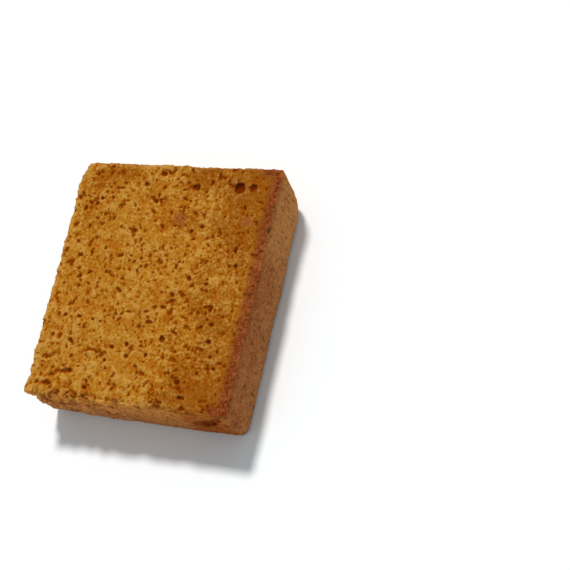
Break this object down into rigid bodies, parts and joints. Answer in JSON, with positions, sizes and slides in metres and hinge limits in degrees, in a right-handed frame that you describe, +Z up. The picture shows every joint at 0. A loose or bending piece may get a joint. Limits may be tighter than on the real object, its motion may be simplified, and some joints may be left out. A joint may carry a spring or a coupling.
{
  "type": "honey cake",
  "caption": "Half slice of honey cake lying on a cut face: open golden crumb above, below and on the halved side, baked crust on the other sides.",
  "frame": {"origin": "centre of the underside, the cut face that the slice lies on", "axes": "+Z up, out of the upper cut face; +Y along the longer side, from the near crust end to the far one; +X from the halved side to the baked crust side"},
  "size_m": [0.072, 0.082, 0.0214],
  "materials": {
    "honey_cake_crumb": "matt open crumb, golden tan, with browner crust on the baked sides"
  },
  "bodies": {
    "root": {"honey_cake_slice": "honey_cake_crumb"}
  },
  "joints": []
}
